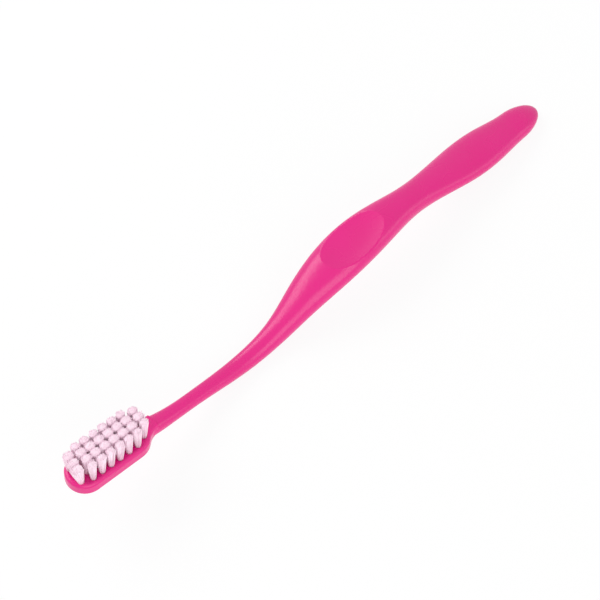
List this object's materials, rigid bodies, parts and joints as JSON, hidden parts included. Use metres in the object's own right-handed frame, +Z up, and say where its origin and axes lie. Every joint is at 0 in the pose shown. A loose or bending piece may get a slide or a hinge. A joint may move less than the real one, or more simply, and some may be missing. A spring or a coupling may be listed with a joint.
{
  "type": "manual toothbrush",
  "caption": "Manual toothbrush: S-curved one-piece moulded handle with an oval thumb rest and a flat oval head of short, straight nylon tufts.",
  "frame": {"origin": "on the table plane, in the middle of the flat under the neck that the brush rests on when it lies on its back", "axes": "+X along the brush from the head to the handle's end, +Z up from the table on the bristle side, Y across the handle"},
  "size_m": [0.1876, 0.015, 0.0269],
  "materials": {
    "handle_plastic": "gloss",
    "bristle_nylon": "satin",
    "anchor_metal": "bright"
  },
  "bodies": {
    "root": {"handle": "handle_plastic", "tuft_anchors": "anchor_metal", "tuft_column1_row1": "bristle_nylon", "tuft_column1_row2": "bristle_nylon", "tuft_column1_row3": "bristle_nylon", "tuft_column2_row1": "bristle_nylon", "tuft_column2_row2": "bristle_nylon", "tuft_column2_row3": "bristle_nylon", "tuft_column2_row4": "bristle_nylon", "tuft_column3_row1": "bristle_nylon", "tuft_column3_row2": "bristle_nylon", "tuft_column3_row3": "bristle_nylon", "tuft_column3_row4": "bristle_nylon", "tuft_column4_row1": "bristle_nylon", "tuft_column4_row2": "bristle_nylon", "tuft_column4_row3": "bristle_nylon", "tuft_column4_row4": "bristle_nylon", "tuft_column5_row1": "bristle_nylon", "tuft_column5_row2": "bristle_nylon", "tuft_column5_row3": "bristle_nylon", "tuft_column5_row4": "bristle_nylon", "tuft_column6_row1": "bristle_nylon", "tuft_column6_row2": "bristle_nylon", "tuft_column6_row3": "bristle_nylon", "tuft_column6_row4": "bristle_nylon", "tuft_column7_row1": "bristle_nylon", "tuft_column7_row2": "bristle_nylon", "tuft_column7_row3": "bristle_nylon", "tuft_column7_row4": "bristle_nylon", "tuft_column8_row1": "bristle_nylon", "tuft_column8_row2": "bristle_nylon", "tuft_column8_row3": "bristle_nylon"}
  },
  "joints": []
}
